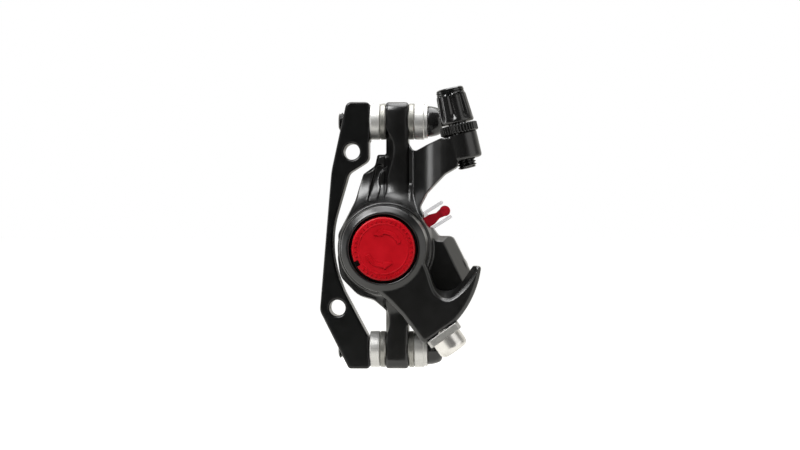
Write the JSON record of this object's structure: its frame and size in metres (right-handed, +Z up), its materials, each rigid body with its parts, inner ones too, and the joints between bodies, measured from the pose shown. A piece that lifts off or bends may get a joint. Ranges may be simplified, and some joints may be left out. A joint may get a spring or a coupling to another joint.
{
  "type": "mechanical disc brake caliper",
  "caption": "Cable-pulled disc brake caliper with swinging arm, two red pad knobs, barrel adjuster and flat frame adapter, in black.",
  "frame": {"origin": "pad and arm axis on the middle plane of the rotor slot", "axes": "+Z up along the two ears, +X toward the cable arm and away from the bracket, -Y toward the arm side and the picture's camera"},
  "size_m": [0.0526, 0.0555, 0.0909],
  "materials": {
    "black_bracket": "flat black",
    "black_casting": "satin black",
    "black_steel": "black oxide",
    "blasted_steel": "bead blasted",
    "bright_steel": "polished",
    "spring_steel": "drawn",
    "red_plastic": "moulded",
    "black_plastic": "gloss",
    "clear_plastic": "clear moulded",
    "bushing_plastic": "matte",
    "seal_rubber": "matte",
    "friction_material": "sintered",
    "brass": "turned"
  },
  "bodies": {
    "bracket": {"mount_bracket": "black_bracket", "mount_bolts": "black_steel", "inner_cup_washers": "blasted_steel", "inner_cone_washers": "blasted_steel", "outer_cone_washers": "blasted_steel", "outer_cup_washers": "blasted_steel", "flange_washers": "blasted_steel"},
    "caliper": {"outboard_body": "black_casting", "inboard_body": "black_casting", "body_bolts": "black_steel", "hub_bushing": "bushing_plastic", "thrust_washer": "brass", "hub_seal": "seal_rubber", "return_spring": "spring_steel", "inner_knob_clip": "spring_steel", "pad_spreader": "spring_steel"},
    "arm": {"torque_arm": "black_casting", "cable_clamp_washer": "blasted_steel", "cable_clamp_bolt": "bright_steel", "ramp_ring": "bright_steel", "arm_retaining_ring": "spring_steel", "outer_knob_clip": "spring_steel"},
    "ball_set": {"ramp_balls": "bright_steel", "ball_cage": "brass"},
    "piston": {"ramp_piston": "bright_steel"},
    "outboard_pad": {"outboard_backplate": "black_steel", "outboard_lining": "friction_material"},
    "outer_foot": {"outer_foot_screw": "bright_steel"},
    "outer_adjuster": {"outer_knob": "red_plastic"},
    "inner_adjuster": {"inner_knob": "red_plastic"},
    "inboard_pad": {"inboard_backplate": "black_steel", "inboard_lining": "friction_material"},
    "inner_foot": {"inner_foot_screw": "bright_steel"},
    "cable_seat": {"housing_seat": "brass"},
    "cable_barrel": {"barrel": "black_plastic", "barrel_grip": "black_plastic"},
    "lock": {"lock_ring": "black_plastic"},
    "spacer": {"spacer_fork": "clear_plastic", "spacer_grip": "red_plastic"}
  },
  "joints": [
    {"name": "side_alignment", "type": "slide", "parent": "bracket", "child": "caliper", "axis": [0, 1, 0], "range_m": [-0.0015, 0.0015]},
    {"name": "arm_pivot", "type": "hinge", "parent": "caliper", "child": "arm", "pos_m": [0, -0.0264, 0], "axis": [0, -1, 0], "range_deg": [0, 35], "stiffness_Nm_per_rad": 0.15, "springref_deg": -20.05},
    {"name": "ball_roll", "type": "hinge", "parent": "caliper", "child": "ball_set", "pos_m": [0, -0.0165, 0], "axis": [0, -1, 0], "range_deg": [0, 17.51]},
    {"name": "piston_push", "type": "slide", "parent": "caliper", "child": "piston", "axis": [0, 1, 0], "range_m": [0, 0.001]},
    {"name": "outer_knob_turn", "type": "hinge", "parent": "caliper", "child": "outer_adjuster", "pos_m": [0, -0.0327, 0], "axis": [0, 1, 0], "range_deg": [0, 540]},
    {"name": "outboard_pad_feed", "type": "slide", "parent": "piston", "child": "outboard_pad", "axis": [0, 1, 0], "range_m": [0, 0.0015]},
    {"name": "outer_foot_turn", "type": "hinge", "parent": "outboard_pad", "child": "outer_foot", "pos_m": [0, -0.0082, 0], "axis": [0, 1, 0], "range_deg": [0, 540.1]},
    {"name": "inner_knob_turn", "type": "hinge", "parent": "caliper", "child": "inner_adjuster", "pos_m": [0, 0.0188, 0], "axis": [0, -1, 0], "range_deg": [0, 720]},
    {"name": "inboard_pad_feed", "type": "slide", "parent": "caliper", "child": "inboard_pad", "axis": [0, -1, 0], "range_m": [0, 0.002]},
    {"name": "inner_foot_turn", "type": "hinge", "parent": "inboard_pad", "child": "inner_foot", "pos_m": [0, 0.0077, 0], "axis": [0, -1, 0], "range_deg": [0, 720.1]},
    {"name": "barrel_rise", "type": "slide", "parent": "caliper", "child": "cable_seat", "axis": [-0.2282, 0, 0.9736], "range_m": [0, 0.003]},
    {"name": "barrel_turn", "type": "hinge", "parent": "cable_seat", "child": "cable_barrel", "pos_m": [0.02219, -0.0262, 0.04423], "axis": [-0.2282, 0, 0.9736], "range_deg": [0, 1080]},
    {"name": "lock_ring_turn", "type": "hinge", "parent": "caliper", "child": "lock", "pos_m": [0.02363, -0.0262, 0.0381], "axis": [-0.2282, 0, 0.9736], "range_deg": [0, 90]},
    {"name": "spacer_pull", "type": "slide", "parent": "caliper", "child": "spacer", "axis": [0.848, 0, 0.5299], "range_m": [0, 0.03]}
  ],
  "couplings": [
    {"joint": "ball_roll", "follows": "arm_pivot", "ratio": 0.5},
    {"joint": "piston_push", "follows": "arm_pivot", "m_per_rad": 0.0016369},
    {"joint": "outer_knob_turn", "follows": "outboard_pad_feed", "rad_per_m": 6283},
    {"joint": "outer_foot_turn", "follows": "outboard_pad_feed", "rad_per_m": 6283},
    {"joint": "inner_knob_turn", "follows": "inboard_pad_feed", "rad_per_m": 6283},
    {"joint": "inner_foot_turn", "follows": "inboard_pad_feed", "rad_per_m": 6283},
    {"joint": "barrel_turn", "follows": "barrel_rise", "rad_per_m": 6283}
  ]
}
